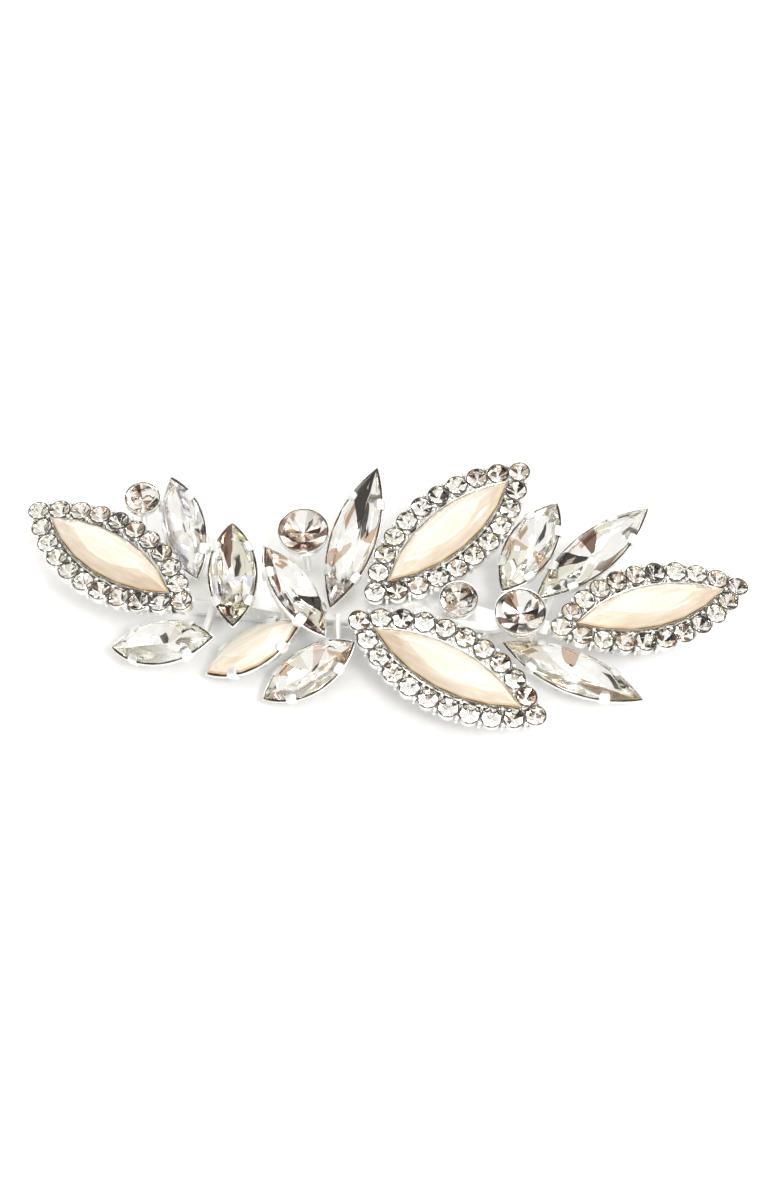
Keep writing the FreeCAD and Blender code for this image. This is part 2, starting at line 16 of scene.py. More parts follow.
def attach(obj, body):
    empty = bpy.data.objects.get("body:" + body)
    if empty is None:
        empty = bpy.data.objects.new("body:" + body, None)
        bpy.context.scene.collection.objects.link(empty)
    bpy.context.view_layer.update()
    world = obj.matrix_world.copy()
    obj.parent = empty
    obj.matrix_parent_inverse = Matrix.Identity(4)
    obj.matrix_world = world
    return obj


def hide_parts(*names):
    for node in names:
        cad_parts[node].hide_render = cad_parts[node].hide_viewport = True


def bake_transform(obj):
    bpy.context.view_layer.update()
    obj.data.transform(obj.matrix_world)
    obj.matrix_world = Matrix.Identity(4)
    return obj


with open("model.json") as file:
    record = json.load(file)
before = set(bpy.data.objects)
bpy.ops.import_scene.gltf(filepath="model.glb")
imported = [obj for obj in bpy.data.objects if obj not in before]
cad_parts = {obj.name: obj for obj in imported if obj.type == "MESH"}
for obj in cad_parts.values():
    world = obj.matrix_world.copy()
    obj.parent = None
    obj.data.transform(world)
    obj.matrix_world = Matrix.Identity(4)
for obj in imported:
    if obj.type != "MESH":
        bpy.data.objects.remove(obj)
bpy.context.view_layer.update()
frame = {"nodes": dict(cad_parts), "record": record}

MM = 0.001
ORNAMENT = "ornament"
LEAVES = ("left_leaf", "back_leaf", "front_leaf", "right_leaf")
ROUNDS = ("left_round", "middle_round", "centre_round", "right_round")
IVORY_NAVETTE = "ivory_navette"
NAVETTES = sorted(node.removesuffix("_stone") for node in frame["nodes"] if node.endswith("_navette_stone"))
CLEAR_NAVETTES = [name for name in NAVETTES if name != IVORY_NAVETTE]

# ---------------------------------------------------------------- seats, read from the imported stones


def node_points(node):
    """A node's vertices in millimetres, and its triangles."""
    mesh = frame["nodes"][node].data
    points = np.array([v.co for v in mesh.vertices]) / MM
    mesh.calc_loop_triangles()
    triangles = np.array([t.vertices for t in mesh.loop_triangles])
    return points, triangles


def islands(points, triangles):
    """Groups the triangles of separate solids, joining vertices that lie in one place."""
    keys, joined = np.unique(np.round(points, 4), axis=0, return_inverse=True)
    joined = joined.reshape(-1)
    parent = list(range(len(keys)))

    def root(index):
        while parent[index] != index:
            parent[index] = parent[parent[index]]
            index = parent[index]
        return index

    for corner in joined[triangles]:
        first = root(corner[0])
        parent[root(corner[1])] = first
        parent[root(corner[2])] = first
    groups = {}
    for triangle, corner in zip(triangles, joined[triangles]):
        groups.setdefault(root(corner[0]), []).append(triangle)
    return [np.array(group) for group in groups.values()]


class Seat:
    """Where one stone sits: its middle at the girdle, its own axes, and its sizes in millimetres."""

    SAME_PLANE = 0.9995
    GIRDLE_REACH = 0.02

    def __init__(self, points, triangles):
        corners = points[triangles]
        normals = np.cross(corners[:, 1] - corners[:, 0], corners[:, 2] - corners[:, 0])
        areas = np.linalg.norm(normals, axis=1)
        units = normals / np.maximum(areas, 1e-9)[:, None]
        flat = [areas[(units @ unit) > self.SAME_PLANE].sum() for unit in units]
        up = units[int(np.argmax(flat))]
        used = points[np.unique(triangles)]
        spread = used - used.mean(axis=0)
        level = spread - np.outer(spread @ up, up)
        first = level[int(np.argmax(np.linalg.norm(level, axis=1)))]
        far = level - first
        second = level[int(np.argmax(np.linalg.norm(far, axis=1)))]
        along = (first - second) / np.linalg.norm(first - second)
        if along[0] < 0:
            along = -along
        across = np.cross(up, along)
        local = np.stack([used @ along, used @ across, used @ up], axis=1)
        low, high = local.min(axis=0), local.max(axis=0)
        middle = (low + high) / 2
        widest = local[np.abs(local[:, 0] - middle[0]) > (high[0] - low[0]) / 2 - self.GIRDLE_REACH]
        girdle = widest[:, 2].min()
        self.half_length, self.half_width = (high[0] - low[0]) / 2, (high[1] - low[1]) / 2
        self.table, self.depth = high[2] - girdle, girdle - low[2]
        self.axes = np.stack([along, across, up])
        self.origin = middle[0] * along + middle[1] * across + girdle * up

    def place(self, local):
        """Turns local millimetres into metres in the row frame."""
        return (np.asarray(local, float) @ self.axes + self.origin) * MM


def seat_of(node):
    """The seat of a node that is one stone."""
    points, triangles = node_points(node)
    return Seat(points, triangles)


def seats_of(node):
    """The seats of a node that is a group of stones."""
    points, triangles = node_points(node)
    return [Seat(points, group) for group in islands(points, triangles)]


# ---------------------------------------------------------------- building meshes


class Shape:
    """Gathers faces from several simple forms into one mesh."""

    def __init__(self):
        self.points, self.faces, self.slots, self.tones, self.smooth = [], [], [], [], []

    def add(self, points, faces, slot=0, tones=None, smooth=True):
        """Adds faces in one material slot or a slot each, with a tone each or one for every corner."""
        start = len(self.points)
        self.points.extend(np.asarray(points, float).tolist())
        for index, face in enumerate(faces):
            self.faces.append([start + corner for corner in face])
            self.slots.append(slot if isinstance(slot, int) else slot[index])
            self.tones.append(tones[index] if tones else (1.0, 1.0, 1.0))
            self.smooth.append(smooth)

    def finish(self, name, materials, body=ORNAMENT, sharp=35, seat=None):
        """Makes the piece, standing at its seat when its points are about that, and rides it on its body."""
        mesh = bpy.data.meshes.new(name)
        mesh.from_pydata(self.points, [], self.faces)
        for material in materials:
            mesh.materials.append(material)
        mesh.polygons.foreach_set("material_index", self.slots)
        mesh.polygons.foreach_set("use_smooth", self.smooth)
        colours = mesh.color_attributes.new("tone", "FLOAT_COLOR", "CORNER")
        values = []
        for polygon, tone in zip(mesh.polygons, self.tones):
            corners = tone if isinstance(tone, list) else [tone] * polygon.loop_total
            for corner in corners:
                values.extend([*corner, 1.0])
        colours.data.foreach_set("color", values)
        mesh.set_sharp_from_angle(angle=math.radians(sharp))
        mesh.update()
        piece = bpy.data.objects.new(name, mesh)
        if seat:
            turn = Matrix([list(map(float, row)) for row in seat.axes.T]).to_4x4()
            piece.matrix_world = Matrix.Translation(Vector(seat.origin * MM)) @ turn
        bpy.context.scene.collection.objects.link(piece)
        if body:
            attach(piece, body)
        return piece


def marquise_radius(half_length, half_width):
    """The radius of the two arcs that make a marquise."""
    return (half_length ** 2 + half_width ** 2) / (2 * half_width)


def marquise(half_length, half_width, per_side, shift=0.0):
    """Points round two arcs that meet at tips on X, moved along the arcs by part of a step."""
    radius = marquise_radius(half_length, half_width)
    half_turn = math.asin(min(half_length / radius, 1.0))
    ring = []
    for side in (1, -1):
        for step in range(per_side):
            turn = half_turn * (1 - 2 * (step + shift) / per_side)
            out = radius * math.cos(turn) - radius + half_width
            ring.append((radius * math.sin(turn) * side, out * side))
    return np.array(ring)


def circle(radius, count, turn=0.0):
    """Points round a circle, the first at the given turn from X."""
    angles = turn + 2 * math.pi * np.arange(count) / count
    return np.stack([np.cos(angles), np.sin(angles)], axis=1) * radius


def lift(ring, height):
    """A flat ring of points raised to one height."""
    return np.column_stack([ring, np.full(len(ring), float(height))])


def band_faces(count, levels, close=True):
    """Quads between rings stacked one after another; the last ring joins the first when closed."""
    faces = []
    last = levels if close else levels - 1
    for level in range(last):
        lower, upper = level * count, ((level + 1) % levels) * count
        for index in range(count):
            after = (index + 1) % count
            faces.append((lower + index, lower + after, upper + after, upper + index))
    return faces


def capped_faces(count, levels):
    """The quads of a stack of rings, with a face across the bottom and another across the top."""
    faces = band_faces(count, levels, close=False)
    faces.append(tuple(reversed(range(count))))
    faces.append(tuple(range((levels - 1) * count, levels * count)))
    return faces


def add_band(shape, seat, rings, slot=0):
    """A closed band: rings go up the outside, over the lip and down the inside."""
    shape.add(seat.place(np.concatenate(rings)), band_faces(len(rings[0]), len(rings)), slot)


def add_block(shape, seat, rings, slot=0):
    """A closed solid between stacked rings, capped top and bottom."""
    shape.add(seat.place(np.concatenate(rings)), capped_faces(len(rings[0]), len(rings)), slot)


# ---------------------------------------------------------------- materials


def new_material(name):
    """A new material, its node tree's nodes and links, and its shader."""
    material = bpy.data.materials.new(name)
    material.use_nodes = True
    tree = material.node_tree
    return material, tree.nodes, tree.links, tree.nodes["Principled BSDF"]


def noise_ramp(nodes, links, scale, detail, stops, stretch=(1, 1, 1)):
    """Noise in object space, its values mapped onto two stops of (place, colour)."""
    place = nodes.new("ShaderNodeTexCoord")
    mapping = nodes.new("ShaderNodeMapping")
    mapping.inputs["Scale"].default_value = stretch
    noise = nodes.new("ShaderNodeTexNoise")
    noise.inputs["Scale"].default_value = scale
    noise.inputs["Detail"].default_value = detail
    ramp = nodes.new("ShaderNodeValToRGB")
    first, last = ramp.color_ramp.elements
    links.new(place.outputs["Object"], mapping.inputs["Vector"])
    links.new(mapping.outputs["Vector"], noise.inputs["Vector"])
    links.new(noise.outputs["Fac"], ramp.inputs["Fac"])
    for element, (position, colour) in zip((first, last), stops):
        element.position = position
        element.color = (*colour, 1)
    return noise, ramp


def grey(value):
    """A colour with no hue."""
    return (value, value, value)


def add_bump(nodes, links, shader, height, distance, strength):
    """Roughens the surface by a height that a node gives, over a distance in metres."""
    bump = nodes.new("ShaderNodeBump")
    bump.inputs["Distance"].default_value = distance
    bump.inputs["Strength"].default_value = strength
    links.new(height, bump.inputs["Height"])
    links.new(bump.outputs["Normal"], shader.inputs["Normal"])


CLOUD_SCALE, GRAIN_SCALE, GRAIN_HEIGHT = 420, 2600, 0.00004


def metal(name, light, dark, polish, dull, stretch=(1, 1, 1), bump=0.08):
    """Plated or brushed metal: clouded colour, uneven gloss and a fine surface."""
    material, nodes, links, shader = new_material(name)
    shader.inputs["Metallic"].default_value = 1.0
    _, tint = noise_ramp(nodes, links, CLOUD_SCALE, 4, [(0.3, dark), (0.7, light)])
    shine = [(0.3, grey(polish)), (0.75, grey(dull))]
    grain, gloss = noise_ramp(nodes, links, GRAIN_SCALE, 3, shine, stretch)
    links.new(tint.outputs["Color"], shader.inputs["Base Color"])
    links.new(gloss.outputs["Color"], shader.inputs["Roughness"])
    add_bump(nodes, links, shader, grain.outputs["Fac"], GRAIN_HEIGHT, bump)
    return material


def tone_times(nodes, links, shader, wash):
    """Colours the shader with the tone that each face carries, darkened by a wash of noise."""
    tone = nodes.new("ShaderNodeVertexColor")
    tone.layer_name = "tone"
    mix = nodes.new("ShaderNodeMix")
    mix.data_type = "RGBA"
    mix.blend_type = "MULTIPLY"
    mix.inputs["Factor"].default_value = 1.0
    links.new(tone.outputs["Color"], mix.inputs["A"])
    links.new(wash.outputs["Color"], mix.inputs["B"])
    links.new(mix.outputs["Result"], shader.inputs["Base Color"])


def crown_glass(name):
    """Clear cut glass with the faintest clouding in its polish."""
    material, nodes, links, shader = new_material(name)
    shader.inputs["Transmission Weight"].default_value = 1.0
    shader.inputs["IOR"].default_value = 1.55
    shader.inputs["Base Color"].default_value = (0.985, 0.985, 0.985, 1)
    _, gloss = noise_ramp(nodes, links, 600, 3, [(0.35, grey(0.0)), (0.8, grey(0.035))])
    links.new(gloss.outputs["Color"], shader.inputs["Roughness"])
    return material


def foil_back(name):
    """The stones' mirrored backs, seen through the glass: each facet has its own painted reflection tone."""
    material, nodes, links, shader = new_material(name)
    shader.inputs["Metallic"].default_value = 1.0
    _, wash = noise_ramp(nodes, links, 900, 3, [(0.3, grey(0.94)), (0.7, grey(1.0))])
    tone_times(nodes, links, shader, wash)
    shader.inputs["Roughness"].default_value = 0.06
    return material


def pearl(name):
    """Milky ivory glass: warm cream with streaks along the stone, clear polish and light that sinks in."""
    material, nodes, links, shader = new_material(name)
    streak = (0.10, 1.0, 1.0)
    grain, wash = noise_ramp(nodes, links, 1500, 3, [(0.32, (0.86, 0.81, 0.74)), (0.68, grey(1.0))], streak)
    tone_times(nodes, links, shader, wash)
    shader.inputs["Roughness"].default_value = 0.22
    shader.inputs["Coat Weight"].default_value = 1.0
    shader.inputs["Coat Roughness"].default_value = 0.04
    shader.inputs["Subsurface Weight"].default_value = 0.25
    shader.inputs["Subsurface Radius"].default_value = (1.0, 0.94, 0.82)
    shader.inputs["Subsurface Scale"].default_value = 0.0008
    add_bump(nodes, links, shader, grain.outputs["Fac"], 0.00003, 0.15)
    return material


SILVER = metal("bright_silver_plate", (0.97, 0.965, 0.95), (0.92, 0.92, 0.905), 0.20, 0.34)
CLAW_SILVER = metal("satin_claw_silver", (0.97, 0.965, 0.95), (0.93, 0.93, 0.915), 0.38, 0.52)
RIM_SILVER = metal("cast_silver_rim", (0.97, 0.965, 0.95), (0.86, 0.86, 0.84), 0.14, 0.34, bump=0.25)
# Painted shadow: a dark metal for the thin bands that stand for the shade between each stone and its
# setting.
SEAT_SHADE = metal("shaded_seat", (0.20, 0.17, 0.14), (0.09, 0.075, 0.06), 0.3, 0.55)
CLIP_LIGHT, CLIP_DARK, BRUSHED = (0.98, 0.98, 0.965), (0.93, 0.935, 0.925), (0.12, 1, 1)
CLIP_STEEL = metal("brushed_clip_steel", CLIP_LIGHT, CLIP_DARK, 0.34, 0.50, BRUSHED, 0.06)
SPRING_STEEL = metal("spring_wire_steel", (0.80, 0.81, 0.82), (0.62, 0.63, 0.65), 0.18, 0.4, bump=0.15)
GLASS = crown_glass("clear_crown_glass")
FOIL = foil_back("mirrored_facet_backs")
IVORY = pearl("pearly_ivory_glass")

# ---------------------------------------------------------------- stones

# Painted reflections: tones laid on the foil facets, standing for the bright room and the tan and dark
# surroundings that the backs mirror.
WHITE, PALE, SILVERY = (1.0, 0.995, 0.975), (0.94, 0.93, 0.90), (0.76, 0.75, 0.72)
TAN, ROSE, UMBER, BLACK = (0.68, 0.54, 0.43), (0.80, 0.69, 0.63), (0.26, 0.17, 0.13), (0.06, 0.05, 0.045)
LAVENDER, OLIVE = (0.80, 0.79, 0.87), (0.84, 0.82, 0.73)
GLASS_SLOT, FOIL_SLOT = 0, 1
CLEAR_FACET_REFLECTIONS = [WHITE] * 18 + [PALE] * 3 + [OLIVE] * 3 + [TAN] * 2 + [UMBER, ROSE, BLACK, LAVENDER]
ROUND_FACET_REFLECTIONS = [WHITE] * 10 + [PALE] * 2 + [SILVERY, SILVERY, TAN, TAN, ROSE, ROSE, UMBER, UMBER, BLACK]
HALO_FACET_REFLECTIONS = [WHITE] * 18 + [PALE] * 2 + [OLIVE] * 2 + [ROSE, TAN, UMBER, BLACK]


def facets_between(lower, upper, count, turned_before, turned_after):
    """Quads between two rings in step with each other, or triangles where one is half a step on."""
    faces = []
    for index in range(count):
        after = (index + 1) % count
        if turned_before == turned_after:
            faces.append((lower + index, lower + after, upper + after, upper + index))
        elif turned_after:
            faces.append((lower + index, lower + after, upper + index))
            faces.append((lower + after, upper + after, upper + index))
        else:
            faces.append((lower + index, upper + after, upper + index))
            faces.append((lower + index, lower + after, upper + after))
    return faces


def cut_stone(shape, seat, outline, rings, tones, draw):
    """One cut stone: rings of (scale, height, half step) from the back's point up to the table."""
    points, faces, slots, colours = [], [], [], []
    count = len(outline(0.0))
    for scale, height, half_step in rings:
        points.append(lift(outline(0.5 if half_step else 0.0) * scale, height))
    girdle = next(i for i, ring in enumerate(rings) if ring[0] == 1.0)
    # Each back facet takes a painted reflection tone drawn at random; the face at the back's point takes a
    # pale one.
    for level in range(len(rings) - 1):
        new = facets_between(level * count, (level + 1) * count, count, rings[level][2], rings[level + 1][2])
        faces.extend(new)
        for face in new:
            slots.append(FOIL_SLOT if level < girdle else GLASS_SLOT)
            colours.append(draw.choice(tones))
    faces.append(tuple(reversed(range(count))))
    slots.append(FOIL_SLOT)
    colours.append(PALE)
    top = (len(rings) - 1) * count
    faces.append(tuple(range(top, top + count)))
    slots.append(GLASS_SLOT)
    colours.append(WHITE)
    shape.add(seat.place(np.concatenate(points)), faces, slots, colours, smooth=False)


FACETS_PER_SIDE, ROUND_FACETS, HALO_FACETS = 6, 16, 8


def marquise_outline(seat):
    """A navette's outline, moved along by part of a step."""
    return lambda shift: marquise(seat.half_length, seat.half_width, FACETS_PER_SIDE, shift)


def round_outline(radius, count):
    """A round stone's outline, turned by part of a step."""
    return lambda shift: circle(radius, count, 2 * math.pi * shift / count)


GIRDLE_BAND = 0.3


def finish_crystal(shape, name, node):
    """Makes the cut stones a piece of glass and foil that stands for their CAD node."""
    piece = shape.finish(name, [GLASS, FOIL])
    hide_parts(node)


def navette_stone(node, seed):
    """A cut marquise: table, crown facets in two tiers, girdle, and a foiled back of long facets."""
    seat = seat_of(node)
    shape = Shape()
    outline = marquise_outline(seat)
    rise, depth = seat.table, seat.depth
    rings = [(0.16, -depth, False), (1.0, 0.0, False), (1.0, GIRDLE_BAND, False),
             (0.82, GIRDLE_BAND + (rise - GIRDLE_BAND) * 0.6, True), (0.60, rise, False)]
    cut_stone(shape, seat, outline, rings, CLEAR_FACET_REFLECTIONS, random.Random(seed))
    finish_crystal(shape, node.replace("_stone", "_crystal"), node)


def round_stone(node, seed):
    """A round stone: a broad table over a back of straight wedges that meet in a point."""
    seat = seat_of(node)
    shape = Shape()
    outline = round_outline(seat.half_width, ROUND_FACETS)
    rise, depth = seat.table, seat.depth
    rings = [(0.05, -depth, False), (1.0, 0.0, False), (1.0, GIRDLE_BAND, False), (0.74, rise * 0.85, True)]
    cut_stone(shape, seat, outline, rings, ROUND_FACET_REFLECTIONS, random.Random(seed))
    finish_crystal(shape, node.replace("_stone", "_crystal"), node)


# How far a small stone turns and leans, in degrees, and its crown and back as parts of the CAD stone's.
HALO_TURN, HALO_TILT = 45, 5
HALO_CROWN, HALO_BACK = 0.93, 0.975


def jostle(seat, draw):
    """Turns a small stone about its own middle and tips it a little, as hand-set stones sit."""
    spin = Matrix.Rotation(math.radians(draw.uniform(0, HALO_TURN)), 3, "Z")
    tip = Matrix.Rotation(math.radians(draw.uniform(-HALO_TILT, HALO_TILT)), 3, "X")
    lean = Matrix.Rotation(math.radians(draw.uniform(-HALO_TILT, HALO_TILT)), 3, "Y")
    seat.axes = np.array(spin @ tip @ lean) @ seat.axes


def halo_stones(leaf, seed):
    """The leaf's ring of small round stones, each cut and foiled on its own."""
    node = f"{leaf}_halo_stones"
    draw = random.Random(seed)
    shape = Shape()
    seats = seats_of(node)
    for seat in seats:
        outline = round_outline(seat.half_width, HALO_FACETS)
        jostle(seat, draw)
        rise, depth = seat.table * HALO_CROWN, seat.depth * HALO_BACK
        band = min(GIRDLE_BAND, rise * 0.3)
        rings = [(0.10, -depth, False), (1.0, 0.0, True), (1.0, band, True), (0.56, rise, False)]
        cut_stone(shape, seat, outline, rings, HALO_FACET_REFLECTIONS, draw)
    finish_crystal(shape, f"{leaf}_halo_crystals", node)
    return seats


# Painted light and shade on the ivory stones: SHADE for the painted shade side, cream to milk towards the
# painted highlight end, and a golden painted reflection low on the stone.
GOLDEN_EDGE_REFLECTION, SHADE = (0.66, 0.51, 0.32), (0.66, 0.56, 0.46)
CREAM, MILK = (0.775, 0.71, 0.61), (0.92, 0.895, 0.845)
# The height above the girdle below which faces take the painted golden reflection, and how far from the
# middle the side of painted shade starts.
EDGE_HEIGHT, NEAR_SIDE = 0.1, 0.2


def ivory_stone(node, name, highlight_end_side, shade=SHADE):
    """A cut marquise of milky glass with painted light and shade: a painted highlight towards its +X end (1)
    or its -X end (-1), painted shade on its near side, and a painted golden reflection round its girdle and
    back.
    """
    seat = seat_of(node)
    outline = marquise_outline(seat)
    rise, depth = seat.table, seat.depth
    rings = [(0.5, -depth), (1.0, 0.0), (1.0, GIRDLE_BAND), (0.955, GIRDLE_BAND + 0.14),
             (0.78, GIRDLE_BAND + (rise - GIRDLE_BAND) * 0.7), (0.55, rise)]
    points = np.concatenate([lift(outline(0.0) * scale, height) for scale, height in rings])
    count = len(outline(0.0))
    faces = capped_faces(count, len(rings))
    tones = []
    for face in faces:
        corners = points[list(face)]
        # Faces low on the stone take the painted golden reflection of the bezel.
        if corners[:, 2].mean() < GIRDLE_BAND + EDGE_HEIGHT:
            tones.append(GOLDEN_EDGE_REFLECTION)
            continue
        # Faces on the near side take painted shade; along the stone each face grades from its darker end to
        # its painted highlight end.
        in_painted_shade = corners[:, 1].mean() < -NEAR_SIDE
        dark_end, light_end = (shade, CREAM) if in_painted_shade else (CREAM, MILK)
        row = []
        for corner in corners:
            part = 0.5 + 0.5 * corner[0] / seat.half_length * highlight_end_side
            row.append(tuple(dark * (1 - part) + light * part for dark, light in zip(dark_end, light_end)))
        tones.append(row)
    shape = Shape()
    shape.add(points * MM, faces, 0, tones, smooth=False)
    piece = shape.finish(name, [IVORY], seat=seat)
    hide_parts(node)
    return seat


# ---------------------------------------------------------------- settings

# The materials of a setting, by their places on its piece.
SHADE_SLOT, CLAW_SLOT = 1, 2
CUP_WALL, CUP_HEIGHT, CUP_FLOOR, SEAT_CLEARANCE, LIP = 0.30, 2.5, 0.6, 0.06, 0.09


def profile_rings(outline_at, profile):
    """One ring for each (growth, height) of a profile. outline_at gives the outline grown by so much."""
    return [lift(outline_at(grow), height) for grow, height in profile]


def cup_rings(outline_at):
    """Rings of a cup's wall: up the outside, over a rounded lip, down to the floor inside."""
    outside = [(-1.75, -CUP_HEIGHT), (-1.45, -CUP_HEIGHT + 0.12), (-0.75, -1.5), (-0.12, -0.6), (0.0, -0.25)]
    lip = [(CUP_WALL - 0.04, -LIP * 0.5), (CUP_WALL * 0.6, 0.0), (SEAT_CLEARANCE, -LIP)]
    inside = [(SEAT_CLEARANCE - 0.5, -0.9), (SEAT_CLEARANCE - 1.3, CUP_FLOOR - CUP_HEIGHT)]
    profile = [(CUP_WALL + grow, height) for grow, height in outside] + lip + inside
    return profile_rings(outline_at, profile)


def add_painted_seat_shadow(shape, seat, outline_at, level, inner=0.0, outer=0.09):
    """A dark band of painted shadow between a stone and its setting."""
    foot, crest = level - 0.12, level + 0.03
    profile = [(inner, foot), (outer, foot), (outer, level), ((inner + outer) / 2, crest), (inner, level)]
    add_band(shape, seat, profile_rings(outline_at, profile), SHADE_SLOT)


CLAW_PLACE, CLAW_WIDTH, CLAW_THICKNESS, CLAW_REACH, CLAW_LEAN = 0.27, 1.6, 0.34, 0.95, 0.22
CLAW_SIDES, CLAW_SQUARENESS = 8, 0.7


def squared(value):
    """A circle's coordinate pushed out, so that the circle becomes a rounded square."""
    return math.copysign(abs(value) ** CLAW_SQUARENESS, value)


def folded_claw(shape, seat, foot, inward):
    """A rounded tab that climbs the cup's wall at foot, in local X and Y, and folds over the crown."""
    across = np.array([-inward[1], inward[0]])
    climb = [(0.10, -1.30), (-0.28, -0.5), (-0.36, 0.10), (-0.22, 0.46), (0.06, 0.60)]
    fold = [(CLAW_REACH * 0.6, 0.60 + CLAW_LEAN * 0.6), (CLAW_REACH, 0.60 + CLAW_LEAN)]
    tip = [(CLAW_REACH + 0.12, 0.55 + CLAW_LEAN)]
    path = climb + fold + tip
    widths = [0.7, 1.0, 1.0, 1.0, 1.0, 0.92, 0.66, 0.25]
    depths = [1.0, 1.0, 1.0, 1.0, 1.0, 1.0, 0.85, 0.3]
    rings = []
    for index, ((into, height), wide, thin) in enumerate(zip(path, widths, depths)):
        before, after = path[max(index - 1, 0)], path[min(index + 1, len(path) - 1)]
        run = np.array([after[0] - before[0], after[1] - before[1]])
        run = run / np.linalg.norm(run)
        ring = []
        for corner in range(CLAW_SIDES):
            angle = 2 * math.pi * (corner + 0.5) / CLAW_SIDES
            side = squared(math.cos(angle)) * CLAW_WIDTH / 2 * wide
            deep = squared(math.sin(angle)) * CLAW_THICKNESS / 2 * thin
            step, rise = into - run[1] * deep, height + run[0] * deep
            ring.append((*(foot + inward * step + across * side), rise))
        rings.append(np.array(ring))
    add_block(shape, seat, rings, CLAW_SLOT)


# How much more a cup's outline grows at its tips than at its sides, and its steps along each side.
MOST_TIP_GROWTH, CUP_STEPS = 1.7, 16


def navette_cup(name, seat):
    """The stone's cup of plated sheet with four folded claws."""
    shape = Shape()
    half_length, half_width = seat.half_length, seat.half_width

    def outline_at(grow):
        at_tips = min(half_length / half_width, MOST_TIP_GROWTH)
        return marquise(half_length + grow * at_tips, half_width + grow, CUP_STEPS)

    add_block(shape, seat, cup_rings(outline_at))
    add_painted_seat_shadow(shape, seat, outline_at, 0.02)
    radius = marquise_radius(half_length, half_width)
    for end in (1, -1):
        for side in (1, -1):
            x = 2 * half_length * CLAW_PLACE * end
            y = (math.sqrt(radius ** 2 - x ** 2) - radius + half_width) * side
            inward = np.array([-x, -(y + (radius - half_width) * side)])
            folded_claw(shape, seat, np.array([x, y]), inward / np.linalg.norm(inward))
    piece = shape.finish(name, [SILVER, SEAT_SHADE, CLAW_SILVER], sharp=50)
    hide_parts(name)


ROUND_CUP_STEPS = 40


def round_cup(name, seat):
    """A plain tube bezel whose lip is turned in over the girdle."""
    shape = Shape()

    def outline_at(grow):
        return circle(seat.half_width + grow, ROUND_CUP_STEPS)

    outside = [(-1.0, -CUP_HEIGHT), (-0.8, -CUP_HEIGHT + 0.1), (0.0, -1.2), (0.24, -0.3), (0.25, 0.22)]
    lip = [(0.20, 0.32), (0.12, 0.33), (0.05, 0.26)]
    inside = [(0.05, -0.1), (-0.9, CUP_FLOOR - CUP_HEIGHT)]
    add_block(shape, seat, profile_rings(outline_at, outside + lip + inside))
    add_painted_seat_shadow(shape, seat, outline_at, 0.27)
    piece = shape.finish(name, [SILVER, SEAT_SHADE], sharp=50)
    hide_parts(name)


STUD_SIDES = 12


def stud(shape, seat, middle, radius, height):
    """A cast prong with a rounded head, standing on the plate."""
    profile = [(0.72, -height / radius), (0.72, -0.75)]
    for step in range(2, 6):
        angle = math.pi * step / 6
        profile.append((math.sin(angle), -0.85 * math.cos(angle)))
    rings = []
    for scale, level in profile:
        ring = lift(circle(radius * scale, STUD_SIDES), middle[2] + radius * level)
        ring[:, 0] += middle[0]
        ring[:, 1] += middle[1]
        rings.append(ring)
    add_block(shape, seat, rings)


# The wall round each small stone, and the degrees between a plate's points about it.
COLLET_WALL, FAN_STEP, TIP_FAN_STEP = 0.14, 23, 40
# A small stone is at a leaf's tip when its outward heading is along the leaf, to within this sine.
TIP_SINE = 0.2


def leaf_plate(shape, leaf_seat, middles, radius, depth):
    """The cast plate: its edge swells round each small stone and its side draws in towards the back."""
    top = np.mean([middle[2] for middle in middles])
    profile = [(-1.35, -2.0), (-0.95, -1.9), (-0.40, -1.45), (-0.22, -1.15), (-0.25, -depth - 0.03)]
    rings = [[] for _ in profile]
    count = len(middles)
    for index, middle in enumerate(middles):
        run = np.array(middles[(index + 1) % count]) - np.array(middles[index - 1])
        heading = math.atan2(-run[0], run[1])
        at_tip = abs(math.sin(heading)) < TIP_SINE
        fan_step = TIP_FAN_STEP if at_tip else FAN_STEP
        for part in range(-2, 3):
            turn = heading + math.radians(part * fan_step)
            for ring, (grow, level) in zip(rings, profile):
                reach = radius + COLLET_WALL + grow
                x, y = middle[0] + reach * math.cos(turn), middle[1] + reach * math.sin(turn)
                ring.append((x, y, top + level))
    add_block(shape, leaf_seat, [np.array(ring) for ring in rings])


COLLET_STEPS, BEZEL_STEPS = 24, 20
OUTER_STUD, INNER_STUD, STUD_PLACE, STUD_RISE = 0.36, 0.32, 0.82, 0.2


